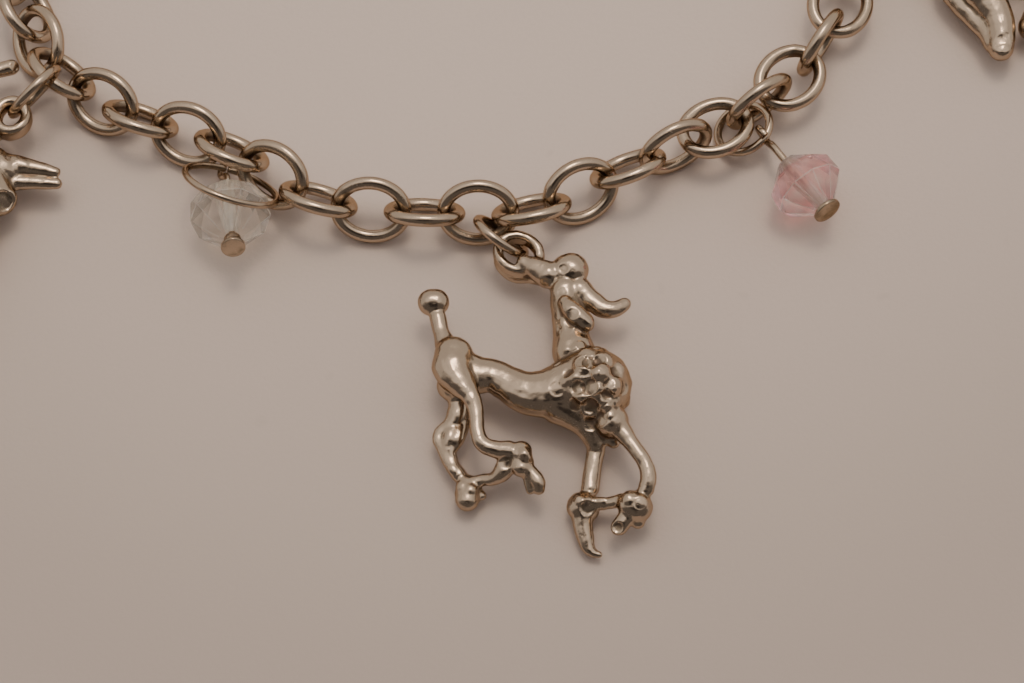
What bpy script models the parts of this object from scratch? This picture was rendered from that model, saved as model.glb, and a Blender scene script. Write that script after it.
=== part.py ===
"""Charm bracelet lying on a surface: a closed oval cable chain, three cast animals and two bead drops.

Metres, +Z up. The origin is the middle of the bracelet's box, on the surface that it lies on.
"""
import math

import bmesh
import bpy
import numpy as np
from mathutils import Matrix, Vector

for item in list(bpy.data.objects):
    bpy.data.objects.remove(item, do_unlink=True)

# Driving sizes
LINK_COUNT = 41
LINK_LENGTH = 0.00676
LINK_WIDTH = 0.00565
LINK_WIRE = 0.00108
LINK_SLACK = 0.00018
LINK_ROLL = math.radians(45.0)
LINK_SEGMENTS = 14
WIRE_SIDES = 6
CLASP_LENGTH = 0.0140
CLASP_WIDTH = 0.0042
CLASP_HEIGHT = 0.0042
CLASP_WIRE = 0.0010
POODLE_HEIGHT = 0.0280
LEFT_ANIMAL_LENGTH = 0.0220
RIGHT_ANIMAL_LENGTH = 0.0200
CLEAR_BEAD = 0.0066
PINK_BEAD = 0.0060
BEAD_SIDES = 10
VOXEL = 0.00028

# Route of the chain's middle line: x and y in hundredths of its length, starting at the clasp
ROUTE = [
    (-2.62, 28.00), (-9.55, 28.75), (-15.70, 28.70), (-20.85, 26.68), (-23.55, 22.18),
    (-22.10, 16.21), (-20.30, 12.78), (-16.86, 10.62), (-12.69, 8.88), (-8.51, 6.28),
    (-3.84, 5.71), (0.79, 5.84), (5.05, 7.83), (8.87, 9.74), (12.33, 12.25),
    (14.89, 16.20), (15.33, 21.27), (12.52, 25.36), (7.59, 27.27), (2.23, 27.69),
]

# Links that are turned further than the rest: link, extra roll in degrees
EXTRA_ROLL = {
    1: 45, 2: 30, 3: 20, 4: 10, 25: 5, 27: 35, 28: 40, 29: 48, 30: 50, 31: 50, 32: 50, 33: 48, 34: 46,
    35: 45, 36: 45, 37: 45, 38: 45, 39: 45, 40: 45, 41: 45,
}

# Links that lie closer to the next one: link, spacing in pitches
SPACING = {12: 0.76, 13: 0.92, 15: 0.82, 17: 0.92, 18: 0.96, 27: 0.86, 29: 0.82}

# Links that the jump rings hold off the surface: link, lift in wire diameters
LIFT = {14: 0.3, 18: 0.45, 19: 0.6, 20: 0.45, 23: 0.4, 29: 0.2}

# Jump rings. The centre is measured from its link's centre along x and y, and from the surface,
# in link lengths. The normal has an azimuth and an elevation in degrees.
# name: link, x, y, z, azimuth, elevation, outer diameter and wire in link lengths
RINGS = {
    "poodle_ring": (23, 0.278, -0.309, 0.348, 46.4, 32.7, 0.806, 0.115),
    "clear_ring": (19, -0.481, -0.234, 0.578, 64.0, 42.4, 1.243, 0.081),
    "pink_ring": (29, -0.185, -0.249, 0.207, -11.0, -65.2, 0.784, 0.104),
    "left_animal_ring": (14, -0.291, -0.343, 0.513, -39.3, -21.4, 0.888, 0.121),
    "right_animal_ring": (34, 0.422, -0.112, 0.467, 75.4, 5.9, 0.828, 0.121),
}

# Animals: limbs by name, each a row of stations from end to end. x and y are measured from the middle
# of the eye, z from the surface, and radius with them, all in hundredths of the animal's size
POODLE = {
    "neck": [(13.3, -12.6, 11.1, 4.4), (13.7, -16.6, 10.7, 4.7), (14.4, -21.4, 10.7, 5.0),
             (15.0, -26.9, 10.7, 5.3), (15.7, -32.6, 11.4, 6.3)],
    "topknot": [(14.4, -6.4, 11.4, 5.1), (15.1, -6.2, 11.4, 5.2)],
    "muzzle": [(17.4, -12.6, 11.1, 4.0), (19.9, -15.2, 11.1, 3.4), (21.8, -16.6, 11.1, 3.2),
               (24.5, -18.6, 11.1, 2.7), (27.0, -18.7, 11.1, 2.2), (29.1, -17.8, 11.1, 2.0),
               (30.4, -16.9, 11.1, 1.8)],
    "near_ear": [(12.1, -16.1, 14.3, 2.0), (14.3, -20.4, 15.7, 2.7), (16.9, -23.3, 15.7, 2.9),
                 (18.9, -25.2, 15.2, 2.6)],
    "far_ear": [(11.9, -13.5, 7.5, 1.7), (14.5, -15.2, 6.4, 2.6), (17.4, -17.6, 6.1, 2.8),
                (19.3, -20.1, 6.4, 2.5)],
    "body": [(-18.5, -36.4, 11.4, 5.7), (-12.1, -39.7, 11.1, 5.7), (-7.7, -40.0, 11.1, 5.0),
             (-3.4, -42.2, 11.1, 5.3), (0.9, -44.8, 11.1, 6.2), (5.4, -45.7, 11.1, 6.9),
             (11.7, -44.9, 11.4, 8.3), (17.3, -43.8, 11.8, 9.5)],
    "mane": [(20.7, -43.3, 12.0, 11.3), (21.0, -43.3, 12.0, 11.3)],
    "chest": [(20.1, -53.7, 9.6, 6.3), (21.8, -57.8, 8.2, 3.5)],
    "chest_knob": [(24.6, -57.6, 8.6, 2.2), (26.7, -59.2, 8.0, 2.0)],
    "tail": [(-20.8, -30.7, 12.1, 3.2), (-22.3, -26.3, 12.1, 2.4), (-23.3, -21.8, 12.1, 2.5)],
    "tail_pom": [(-25.1, -17.0, 12.1, 4.1), (-24.0, -17.0, 12.1, 4.1)],
    "near_hind_leg": [(-18.6, -34.6, 13.2, 5.7), (-18.8, -38.9, 13.9, 6.0), (-16.2, -44.2, 14.6, 4.3),
                      (-13.7, -48.1, 15.0, 2.8), (-12.4, -51.5, 14.8, 2.4), (-11.9, -55.3, 14.4, 2.2),
                      (-11.6, -58.9, 14.2, 2.2), (-10.1, -62.2, 13.6, 2.4), (-6.7, -63.5, 12.9, 2.7),
                      (-3.1, -63.5, 12.1, 2.9)],
    "near_hind_pom": [(0.7, -63.7, 11.8, 3.1), (0.6, -68.4, 11.4, 2.9)],
    "near_hind_paw": [(1.7, -68.2, 11.0, 2.3), (3.6, -70.2, 10.7, 2.2), (5.3, -72.5, 10.4, 2.2),
                      (5.5, -74.2, 9.6, 1.9)],
    "near_hind_toe": [(2.4, -70.0, 10.2, 1.7), (2.8, -72.2, 9.6, 1.6), (3.2, -74.3, 8.8, 1.4)],
    "far_hind_leg": [(-18.2, -41.9, 9.0, 5.2), (-17.0, -46.7, 7.8, 3.2), (-17.6, -50.5, 7.2, 3.2),
                     (-19.6, -53.6, 6.6, 2.5), (-22.8, -56.2, 6.2, 1.7), (-21.5, -60.4, 5.8, 1.9),
                     (-19.3, -64.5, 5.4, 2.2), (-16.9, -68.1, 5.1, 2.3)],
    "far_hind_web": [(-15.9, -52.0, 8.6, 2.4), (-17.5, -57.6, 7.2, 2.3), (-18.7, -60.1, 6.6, 1.8)],
    "far_hind_pom": [(-14.6, -71.1, 4.8, 3.2), (-14.6, -75.5, 4.8, 3.4)],
    "hind_bridge": [(-13.8, -71.1, 5.6, 2.3), (-10.3, -70.3, 6.6, 1.8), (-7.3, -70.4, 7.8, 2.0),
                    (-4.5, -68.8, 9.4, 2.9), (-3.1, -66.0, 10.8, 2.9)],
    "far_hind_paw": [(-12.4, -72.5, 4.6, 1.9), (-10.5, -74.0, 4.2, 1.4)],
    "far_fore_leg": [(21.8, -56.1, 8.0, 3.2), (21.9, -59.6, 6.8, 2.7), (21.2, -64.2, 6.0, 2.6),
                     (20.5, -68.2, 5.4, 2.6), (20.0, -72.1, 5.2, 2.7)],
    "far_fore_cuff": [(17.6, -77.7, 4.9, 4.3), (18.3, -77.7, 4.9, 4.3)],
    "far_fore_paw": [(17.7, -79.6, 4.8, 3.2), (17.9, -83.2, 4.0, 2.8), (18.6, -86.6, 3.4, 2.5),
                     (19.4, -89.4, 3.0, 2.0), (21.1, -91.0, 2.8, 1.4), (22.5, -91.4, 3.0, 1.0)],
    "fore_bridge": [(19.9, -77.2, 5.6, 2.0), (24.4, -77.7, 7.2, 1.8), (28.8, -77.2, 8.6, 2.0)],
    "near_fore_leg": [(26.2, -54.7, 12.4, 4.9), (28.7, -57.5, 12.4, 3.2), (31.1, -61.0, 12.6, 2.3),
                      (33.4, -64.3, 12.5, 2.2), (35.3, -67.6, 12.1, 2.2), (36.2, -71.4, 11.4, 2.4),
                      (35.5, -74.7, 10.4, 2.4)],
    "near_fore_cuff": [(31.7, -79.1, 9.4, 4.3), (33.0, -79.4, 8.8, 4.5)],
    "near_fore_paw": [(31.0, -80.9, 8.6, 2.9), (29.3, -83.1, 8.2, 2.6), (27.9, -85.0, 7.6, 2.5)],
    "near_fore_toe": [(33.0, -81.8, 7.8, 2.2), (33.2, -83.2, 7.2, 2.1)],
    "eye_stem": [(1.5, -3.5, 11.1, 2.3), (5.0, -5.4, 11.1, 3.4), (8.7, -7.7, 11.1, 4.2)],
    "eye_lip": [(-6.0, 0.9, 8.4, 1.5), (-4.9, -3.1, 7.4, 1.9), (-1.3, -5.8, 7.0, 2.1),
                (3.2, -6.2, 7.4, 2.3), (7.0, -7.5, 8.8, 2.6)],
}
LEFT_ANIMAL = {
    "upper_jaw": [(-23.9, -12.4, 12.0, 7.7), (-15.0, -15.0, 12.0, 8.8), (-5.3, -18.7, 12.0, 4.8),
                  (4.6, -19.8, 12.0, 3.0), (13.7, -21.6, 12.0, 2.2), (18.1, -22.7, 12.0, 1.7)],
    "lower_jaw": [(-6.3, -27.8, 11.0, 4.8), (2.0, -27.2, 11.0, 3.4), (8.7, -27.0, 11.0, 2.8),
                  (14.0, -27.3, 11.0, 2.7), (18.7, -27.6, 11.0, 2.3)],
    "horn": [(-24.0, -9.0, 12.0, 6.0), (-22.0, 8.0, 11.5, 3.6), (-15.1, 18.6, 11.5, 3.1),
             (-8.4, 21.0, 11.5, 3.1), (-2.0, 22.9, 11.5, 3.2)],
    "eye_stem": [(-6.0, -4.5, 10.6, 4.0), (-12.0, -11.0, 11.4, 6.0)],
    "throat": [(-16.0, -19.6, 12.5, 10.2), (-6.8, -28.4, 12.0, 8.4), (-2.3, -34.6, 11.6, 6.7)],
    "chest": [(-7.0, -35.2, 12.0, 7.3), (-13.7, -44.4, 12.5, 11.0), (-24.0, -55.0, 13.0, 12.5),
              (-42.0, -60.0, 13.0, 12.5), (-58.0, -58.0, 12.0, 11.0)],
    "fore_leg": [(-22.0, -62.0, 9.0, 6.0), (-20.0, -74.0, 6.0, 4.4), (-18.0, -88.0, 5.0, 4.2),
                 (-14.0, -90.0, 4.6, 4.0)],
    "hind_leg": [(-60.0, -60.0, 9.0, 7.0), (-62.0, -74.0, 6.0, 4.6), (-58.0, -88.0, 5.0, 4.2),
                 (-54.0, -90.0, 4.6, 4.0)],
}
RIGHT_ANIMAL = {
    "trunk": [(14.0, -12.0, 13.5, 8.5), (26.0, -13.0, 13.5, 10.0), (44.0, -12.0, 13.5, 10.5),
              (60.0, -11.0, 13.0, 9.5), (70.0, -11.0, 12.6, 8.5)],
    "first_leg": [(24.6, -14.0, 13.5, 10.9), (28.7, -28.5, 13.5, 10.1), (33.2, -36.8, 13.2, 8.0),
                  (36.9, -45.7, 12.4, 6.6), (37.3, -53.0, 11.6, 5.8), (36.8, -57.8, 11.0, 5.5)],
    "second_leg": [(64.0, -13.4, 12.5, 8.1), (59.5, -27.7, 11.2, 6.9), (54.6, -39.1, 10.2, 6.3),
                   (51.2, -46.6, 9.8, 6.3)],
    "third_leg": [(72.0, -12.0, 12.0, 8.0), (78.0, -26.0, 10.0, 5.6), (77.0, -38.0, 8.0, 4.4),
                  (79.0, -48.0, 7.0, 4.2)],
    "neck": [(62.0, -8.0, 13.0, 8.0), (72.0, 4.0, 13.0, 5.8), (78.0, 9.0, 13.0, 5.6),
             (88.0, 3.0, 12.5, 4.0)],
    "eye_stem": [(5.4, -5.0, 13.6, 3.6), (12.0, -9.0, 13.5, 6.0)],
}

# Each cast animal: table, size, ring, eye's place from its ring's centre along x and y in ring
# diameters, eye's height from the surface, half length, half width and wire in hundredths of the
# animal's size, angle of the eye's length in degrees, flattening along z, share of triangles kept
ANIMALS = {
    "poodle_charm": (POODLE, POODLE_HEIGHT, "poodle_ring", 0.266, -0.327,
                     10.2, 6.3, 5.5, 3.0, -35.0, 0.84, 0.10),
    "left_animal_charm": (LEFT_ANIMAL, LEFT_ANIMAL_LENGTH, "left_animal_ring", -0.310, -0.352,
                          13.9, 5.7, 6.6, 4.3, 0.0, 0.86, 0.10),
    "right_animal_charm": (RIGHT_ANIMAL, RIGHT_ANIMAL_LENGTH, "right_animal_ring", 0.443, -0.111,
                           14.0, 6.8, 6.4, 4.6, 0.0, 0.86, 0.10),
}

# Bead drops, all in bead diameters: bead's length, hole, half its flat end and half its girdle band,
# pin wire, head's diameter and thickness, collar's diameter and length, eye's distance from the bead's
# middle, outer diameter and height from the surface. Then the ring, the eye's place from the ring's
# centre along x and y in ring diameters, the pin's direction, and the eye's turn about it in degrees
DROPS = {
    "clear": (CLEAR_BEAD, 0.84, 0.17, 0.16, 0.04, 0.076, 0.303, 0.05, 0.212, 0.14, 0.877, 0.333, 0.197,
              "clear_ring", -0.096, 0.369, (0.129, -0.932, 0.336), 46.0),
    "pink": (PINK_BEAD, 0.90, 0.17, 0.16, 0.08, 0.100, 0.400, 0.05, 0.16, 0.0, 1.000, 0.383, 0.383,
             "pink_ring", 0.313, -0.236, (0.522, -0.842, 0.125), 90.0),
}
# The way that an unturned eye faces
FACING = Vector((0.0, -0.438, 0.899))


def material(name, colour, roughness, metallic, transmission=0.0):
    """A Principled BSDF material of one colour."""
    made = bpy.data.materials.new(name)
    made.use_nodes = True
    shader = made.node_tree.nodes["Principled BSDF"]
    shader.inputs["Base Color"].default_value = (*colour, 1.0)
    shader.inputs["Roughness"].default_value = roughness
    shader.inputs["Metallic"].default_value = metallic
    shader.inputs["Transmission Weight"].default_value = transmission
    return made


def silver(name):
    return material(name, (0.78, 0.72, 0.64), 0.22, 1.0)


def curve_through(rows, closed, steps):
    """Catmull-Rom points through the rows, with any number of columns."""
    rows = np.asarray(rows, dtype=float)
    count = len(rows)
    spans = count if closed else count - 1
    points = []
    for index in range(spans):
        if closed:
            a, b, c, d = (rows[(index + k) % count] for k in (-1, 0, 1, 2))
        else:
            b, c = rows[index], rows[index + 1]
            a = rows[index - 1] if index else 2.0 * b - c
            d = rows[index + 2] if index + 2 < count else 2.0 * c - b
        for t in np.arange(steps) / steps:
            points.append(0.5 * (2.0 * b + (c - a) * t + (2.0 * a - 5.0 * b + 4.0 * c - d) * t * t
                                 + (3.0 * b - a - 3.0 * c + d) * t ** 3))
    if not closed:
        points.append(rows[-1])
    return np.array(points)


def skin(bm, rings, closed):
    """Faces over equal rings of points, with flat ends where the row of rings is open."""
    loops = [[bm.verts.new(point) for point in ring] for ring in rings]
    pairs = list(zip(loops, loops[1:] + loops[:1])) if closed else list(zip(loops, loops[1:]))
    for low, high in pairs:
        for a in range(len(low)):
            b = (a + 1) % len(low)
            bm.faces.new((low[a], low[b], high[b], high[a]))
    if not closed:
        bm.faces.new(list(reversed(loops[0])))
        bm.faces.new(loops[-1])


def add_eye(bm, half_length, half_width, wire, segments, sides, turn=0.0, centre=(0.0, 0.0, 0.0)):
    """A closed oval of round wire in the XY plane, its length along X before the turn."""
    rings = []
    for step in range(segments):
        angle = 2.0 * math.pi * step / segments
        middle = Vector((half_length * math.cos(angle), half_width * math.sin(angle), 0.0))
        across = Vector((half_width * math.cos(angle), half_length * math.sin(angle), 0.0)).normalized()
        ring = []
        for side in range(sides):
            around = 2.0 * math.pi * side / sides
            offset = across * math.cos(around) + Vector((0.0, 0.0, math.sin(around)))
            ring.append(middle + offset * wire / 2.0)
        rings.append(ring)
    place = Matrix.Translation(Vector(centre)) @ Matrix.Rotation(turn, 4, "Z")
    skin(bm, [[place @ point for point in ring] for ring in rings], True)


def add_limb(bm, rows, sides, flat=1.0):
    """A round limb through stations of x, y, z and radius, with domed ends."""
    points = curve_through(rows, False, 4)
    first, last = points[1] - points[0], points[-1] - points[-2]
    first, last = first[:3] / np.linalg.norm(first[:3]), last[:3] / np.linalg.norm(last[:3])
    start, end = [], []
    for share in (0.96, 0.75, 0.42):
        narrow = math.sqrt(1.0 - share ** 2)
        start.append((*(points[0][:3] - first * points[0][3] * share), points[0][3] * narrow))
        end.append((*(points[-1][:3] + last * points[-1][3] * share), points[-1][3] * narrow))
    points = np.array(start + [tuple(point) for point in points] + end[::-1])
    normal = Vector((0.0, 0.0, 1.0))
    rings = []
    for index, point in enumerate(points):
        before, after = points[max(index - 1, 0)], points[min(index + 1, len(points) - 1)]
        tangent = Vector(after[:3] - before[:3]).normalized()
        normal = (normal - tangent * normal.dot(tangent)).normalized()
        side = tangent.cross(normal)
        ring = []
        for step in range(sides):
            angle = 2.0 * math.pi * step / sides
            offset = (normal * math.sin(angle) + side * math.cos(angle)) * point[3]
            offset.z *= flat
            ring.append(Vector(point[:3]) + offset)
        rings.append(ring)
    skin(bm, rings, False)


def finish(name, bm, look, smooth=True):
    bmesh.ops.recalc_face_normals(bm, faces=bm.faces)
    mesh = bpy.data.meshes.new(name)
    bm.to_mesh(mesh)
    bm.free()
    mesh.materials.append(look)
    if smooth:
        mesh.shade_smooth()
        mesh.set_sharp_from_angle(angle=math.radians(40.0))
    return mesh


def add_object(name, mesh, place):
    made = bpy.data.objects.new(name, mesh)
    bpy.context.collection.objects.link(made)
    made.matrix_world = place
    return made


def turned_to(normal, along, centre):
    """A placing whose Z is the normal and whose X lies along the given direction."""
    z = Vector(normal).normalized()
    x = (Vector(along) - z * Vector(along).dot(z)).normalized()
    y = z.cross(x)
    place = Matrix((x, y, z)).transposed().to_4x4()
    place.translation = Vector(centre)
    return place


PITCH = LINK_LENGTH - 2.0 * LINK_WIRE - LINK_SLACK
END_BAR = (LINK_LENGTH - LINK_WIRE) / 2.0
CLASP_REACH = END_BAR - (LINK_WIRE + CLASP_WIRE) / 2.0 - 2.5 * LINK_SLACK
CLASP_SPAN = CLASP_LENGTH - CLASP_WIRE + 2.0 * CLASP_REACH
STEPS = [0.0] + [SPACING.get(link, 1.0) for link in range(1, LINK_COUNT)]
LOOP_LENGTH = PITCH * sum(STEPS) + CLASP_SPAN


def chain_route():
    """The route's points and its running length, scaled to the loop's length."""
    line = curve_through(ROUTE, True, 24)
    line = np.vstack([line, line[:1]])
    run = np.concatenate([[0.0], np.cumsum(np.linalg.norm(np.diff(line, axis=0), axis=1))])
    scale = LOOP_LENGTH / run[-1]
    return line * scale, run * scale


def link_places():
    """Each link's placing: X along the chain, Y across the link, with its roll and height."""
    line, run = chain_route()
    runs = CLASP_SPAN / 2.0 + PITCH * np.cumsum(STEPS)
    centres = [Vector((np.interp(s, run, line[:, 0]), np.interp(s, run, line[:, 1]), 0.0)) for s in runs]
    places, rises = [], []
    for index, centre in enumerate(centres):
        here = runs[index]
        ahead = [np.interp((here + PITCH * k) % run[-1], run, line[:, 0]) for k in (-0.6, 0.6)]
        aside = [np.interp((here + PITCH * k) % run[-1], run, line[:, 1]) for k in (-0.6, 0.6)]
        tangent = Vector((ahead[1] - ahead[0], aside[1] - aside[0], 0.0)).normalized()
        roll = LINK_ROLL if index % 2 == 0 else -LINK_ROLL
        roll += math.radians(EXTRA_ROLL.get(index + 1, 0.0))
        flat = Vector((-tangent.y, tangent.x, 0.0))
        across = flat * math.cos(roll) + Vector((0.0, 0.0, math.sin(roll)))
        rise = (LINK_WIDTH - LINK_WIRE) / 2.0 * abs(math.sin(roll)) + LINK_WIRE / 2.0
        rises.append(rise + LIFT.get(index + 1, 0.0) * LINK_WIRE)
        middle = Vector((centre.x, centre.y, 0.0))
        place = Matrix((tangent, across, tangent.cross(across))).transposed().to_4x4()
        place.translation = middle
        places.append(place)
    # A link is carried by its neighbours: it lies at most a quarter of a wire lower than they do
    for turn in range(4):
        rises = [max(rises[max(k - 1, 0)] - 0.25 * LINK_WIRE, rises[k],
                     rises[min(k + 1, LINK_COUNT - 1)] - 0.25 * LINK_WIRE) for k in range(LINK_COUNT)]
    for place, rise in zip(places, rises):
        place.translation.z = rise
    return places


def ring_places(links):
    """Each jump ring's placing, with its outer diameter and wire."""
    rings = {}
    for name, (link, x, y, z, azimuth, elevation, size, wire) in RINGS.items():
        centre = links[link - 1].translation.copy()
        centre += Vector((x, y, 0.0)) * LINK_LENGTH
        centre.z = z * LINK_LENGTH
        azimuth, elevation = math.radians(azimuth), math.radians(elevation)
        normal = Vector((math.cos(azimuth) * math.cos(elevation), math.sin(azimuth) * math.cos(elevation),
                         math.sin(elevation)))
        rings[name] = (turned_to(normal, (0.0, 0.0, 1.0), centre), size * LINK_LENGTH, wire * LINK_LENGTH)
    return rings


def animal_place(name, rings):
    """The middle of a cast animal's eye."""
    table, size, ring, x, y, height = ANIMALS[name][:6]
    place, diameter, wire = rings[ring]
    centre = place.translation + Vector((x, y, 0.0)) * diameter
    return Vector((centre.x, centre.y, height / 100.0 * size))


def drop_place(name, rings):
    """A drop's placing: origin in the bead's middle, Z from the eye towards the head, X across the eye."""
    row = DROPS[name]
    size, reach, height, ring, x, y, direction, turn = row[0], row[10], row[12], *row[13:18]
    place, diameter, wire = rings[ring]
    eye = place.translation + Vector((x, y, 0.0)) * diameter
    eye.z = height * size
    axis = Vector(direction).normalized()
    across = Matrix.Rotation(math.radians(turn), 3, axis) @ (FACING - axis * FACING.dot(axis))
    return turned_to(axis, across, eye + axis * reach * size)


def make_links(places):
    bm = bmesh.new()
    add_eye(bm, END_BAR, (LINK_WIDTH - LINK_WIRE) / 2.0, LINK_WIRE, LINK_SEGMENTS, WIRE_SIDES)
    mesh = finish("link", bm, silver("link_silver"))
    for index, place in enumerate(places):
        add_object(f"link_{index + 1:02d}", mesh, place)


def make_clasp():
    """A plain bar with an eye at each end, between the last link and the first."""
    line, run = chain_route()
    look = silver("clasp_silver")
    bm = bmesh.new()
    bmesh.ops.create_cube(bm, size=1.0)
    radius = 0.8 * LINK_WIRE + CLASP_WIRE / 2.0
    body = CLASP_LENGTH - 4.0 * radius - 0.3 * CLASP_WIRE
    bmesh.ops.scale(bm, vec=(body, CLASP_WIDTH, CLASP_HEIGHT), verts=bm.verts)
    clasp = add_object("clasp", finish("clasp", bm, look, False), Matrix())
    bevel = clasp.modifiers.new("Rounded edges", "BEVEL")
    bevel.width = CLASP_HEIGHT * 0.2
    bevel.segments = 2
    for end in (-1.0, 1.0):
        bm = bmesh.new()
        add_eye(bm, radius, radius, CLASP_WIRE, 14, 8, 0.0,
                (end * (CLASP_LENGTH / 2.0 - CLASP_WIRE / 2.0 - radius), 0.0, 0.0))
        eye = add_object(f"clasp_eye_{end:+.0f}", finish("clasp_eye", bm, look), Matrix())
        eye.hide_render = True
        eye.display_type = "WIRE"
        eye.parent = clasp
        union = clasp.modifiers.new("Eye", "BOOLEAN")
        union.operation = "UNION"
        union.object = eye
    ends = [Vector((np.interp(s, run, line[:, 0]), np.interp(s, run, line[:, 1]), 0.0))
            for s in (run[-1] - CLASP_SPAN / 2.0, CLASP_SPAN / 2.0)]
    middle = (ends[0] + ends[1]) / 2.0
    middle.z = CLASP_HEIGHT / 2.0
    clasp.matrix_world = turned_to((0.0, 0.0, 1.0), ends[1] - ends[0], middle)


def make_rings(rings):
    for name, (place, diameter, wire) in rings.items():
        bm = bmesh.new()
        radius = (diameter - wire) / 2.0
        add_eye(bm, radius, radius, wire, LINK_SEGMENTS, WIRE_SIDES)
        add_object(name, finish(name, bm, silver(name + "_silver")), place)


def make_animal(name, rings):
    """Limbs and eye in one closed skin, thinned to plain facets."""
    table, size, ring, x, y, height, long, wide, wire, turn, flat, share = ANIMALS[name]
    unit = size / 100.0
    bm = bmesh.new()
    for rows in table.values():
        add_limb(bm, [(a * unit, b * unit, (c - height) * unit, r * unit) for a, b, c, r in rows], 14, flat)
    add_eye(bm, long * unit, wide * unit, wire * unit, 24, 12, math.radians(turn))
    made = add_object(name, finish(name, bm, silver(name + "_silver")),
                      Matrix.Translation(animal_place(name, rings)))
    remesh = made.modifiers.new("One skin", "REMESH")
    remesh.mode = "VOXEL"
    remesh.voxel_size = VOXEL
    remesh.use_smooth_shade = True
    smooth = made.modifiers.new("Soft joins", "SMOOTH")
    smooth.factor = 0.5
    smooth.iterations = 3
    thin = made.modifiers.new("Plain facets", "DECIMATE")
    thin.ratio = share


def make_drop(name, rings):
    """A faceted bead on a headpin whose end is bent into an eye."""
    (size, length, hole, flat, girdle, wire, head, thickness, collar, collar_length, reach,
     eye) = DROPS[name][:12]
    place = drop_place(name, rings)
    look = material(name + "_crystal", (0.95, 0.93, 0.86) if name == "clear" else (0.93, 0.55, 0.60),
                    0.05, 0.0, 0.9)
    rows = [(-length / 2, flat), (-girdle, 0.5), (girdle, 0.5), (length / 2, flat),
            (length / 2, hole / 2), (-length / 2, hole / 2)]
    bm = bmesh.new()
    rings_of_points = [[Vector((r * size * math.cos(2.0 * math.pi * k / BEAD_SIDES),
                                r * size * math.sin(2.0 * math.pi * k / BEAD_SIDES), h * size))
                        for k in range(BEAD_SIDES)] for h, r in rows]
    skin(bm, rings_of_points, True)
    add_object(name + "_bead", finish(name + "_bead", bm, look, False), place)

    # The headpin runs from its head through the bead to the eye, which nearly closes on the pin
    gap = 0.03
    radius = (eye - wire) / 2.0
    stations = [(0.0, 0.0, length / 2 + gap + collar_length + thickness, head / 2),
                (0.0, 0.0, length / 2 + gap + collar_length, head / 2)]
    if collar_length:
        stations += [(0.0, 0.0, length / 2 + gap + collar_length * 0.98, collar / 2),
                     (0.0, 0.0, length / 2 + gap, collar / 2)]
    stations += [(0.0, 0.0, length / 2 + gap * 0.6, wire / 2), (0.0, 0.0, -length / 2, wire / 2)]
    start = -reach + radius
    stations.append((0.0, 0.0, start + 0.35 * wire, wire / 2))
    for step in range(11):
        angle = math.radians(12.0 + 28.5 * step)
        stations.append((0.0, radius * math.sin(angle), start - radius * (1.0 - math.cos(angle)), wire / 2))
    bm = bmesh.new()
    rings_of_points = []
    for index, (x, y, z, r) in enumerate(stations):
        before, after = stations[max(index - 1, 0)], stations[min(index + 1, len(stations) - 1)]
        tangent = Vector((0.0, after[1] - before[1], after[2] - before[2])).normalized()
        across = Vector((1.0, 0.0, 0.0))
        side = tangent.cross(across)
        rings_of_points.append([(Vector((x, y, z)) + (across * math.cos(2.0 * math.pi * k / 8)
                                + side * math.sin(2.0 * math.pi * k / 8)) * r) * size for k in range(8)])
    skin(bm, rings_of_points, False)
    add_object(name + "_headpin", finish(name + "_headpin", bm, silver(name + "_headpin_silver")), place)


def centre_on_surface():
    """Move everything so that the origin is the middle of the box's underside."""
    bpy.context.view_layer.update()
    graph = bpy.context.evaluated_depsgraph_get()
    low, high = np.full(3, np.inf), np.full(3, -np.inf)
    pieces = [item for item in bpy.data.objects if not item.hide_render]
    for item in pieces:
        shown = item.evaluated_get(graph)
        mesh = shown.to_mesh()
        points = np.array([item.matrix_world @ vertex.co for vertex in mesh.vertices])
        low, high = np.minimum(low, points.min(0)), np.maximum(high, points.max(0))
        shown.to_mesh_clear()
    shift = Vector(((low[0] + high[0]) / 2.0, (low[1] + high[1]) / 2.0, low[2]))
    for item in pieces:
        item.location -= shift


def main():
    links = link_places()
    rings = ring_places(links)
    make_links(links)
    make_clasp()
    make_rings(rings)
    for name in ANIMALS:
        make_animal(name, rings)
    for name in DROPS:
        make_drop(name, rings)
    centre_on_surface()


main()
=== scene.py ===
"""Dresses the charm bracelet for the picture: worn silver wire, cast animals and cut crystal beads."""
import math

import bmesh
import bpy
import numpy as np
from mathutils import Matrix, Vector
from mathutils.kdtree import KDTree


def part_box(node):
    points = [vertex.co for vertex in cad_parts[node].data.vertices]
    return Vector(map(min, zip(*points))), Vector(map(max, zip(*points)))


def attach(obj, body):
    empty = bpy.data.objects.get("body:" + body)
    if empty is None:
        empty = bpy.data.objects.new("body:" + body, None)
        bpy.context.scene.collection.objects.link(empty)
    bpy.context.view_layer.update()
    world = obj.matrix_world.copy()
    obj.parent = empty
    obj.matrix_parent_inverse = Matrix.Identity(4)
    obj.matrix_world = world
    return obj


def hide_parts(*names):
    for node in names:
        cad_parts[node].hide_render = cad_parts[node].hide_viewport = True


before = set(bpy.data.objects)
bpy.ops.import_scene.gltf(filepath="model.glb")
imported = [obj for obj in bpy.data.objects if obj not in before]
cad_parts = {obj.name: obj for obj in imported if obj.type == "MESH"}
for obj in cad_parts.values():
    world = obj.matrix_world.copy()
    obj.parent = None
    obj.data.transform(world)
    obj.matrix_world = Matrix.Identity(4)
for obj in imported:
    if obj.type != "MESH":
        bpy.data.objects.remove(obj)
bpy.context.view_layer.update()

bl_info = {
    "name": "Charm bracelet looks",
    "version": (1, 0, 0),
    "blender": (4, 5, 0),
    "location": "3D View > Sidebar > Bracelet",
    "description": "Round silver wire, cast animals and cut crystal beads over the bracelet's plain parts",
    "category": "Object",
}

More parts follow.
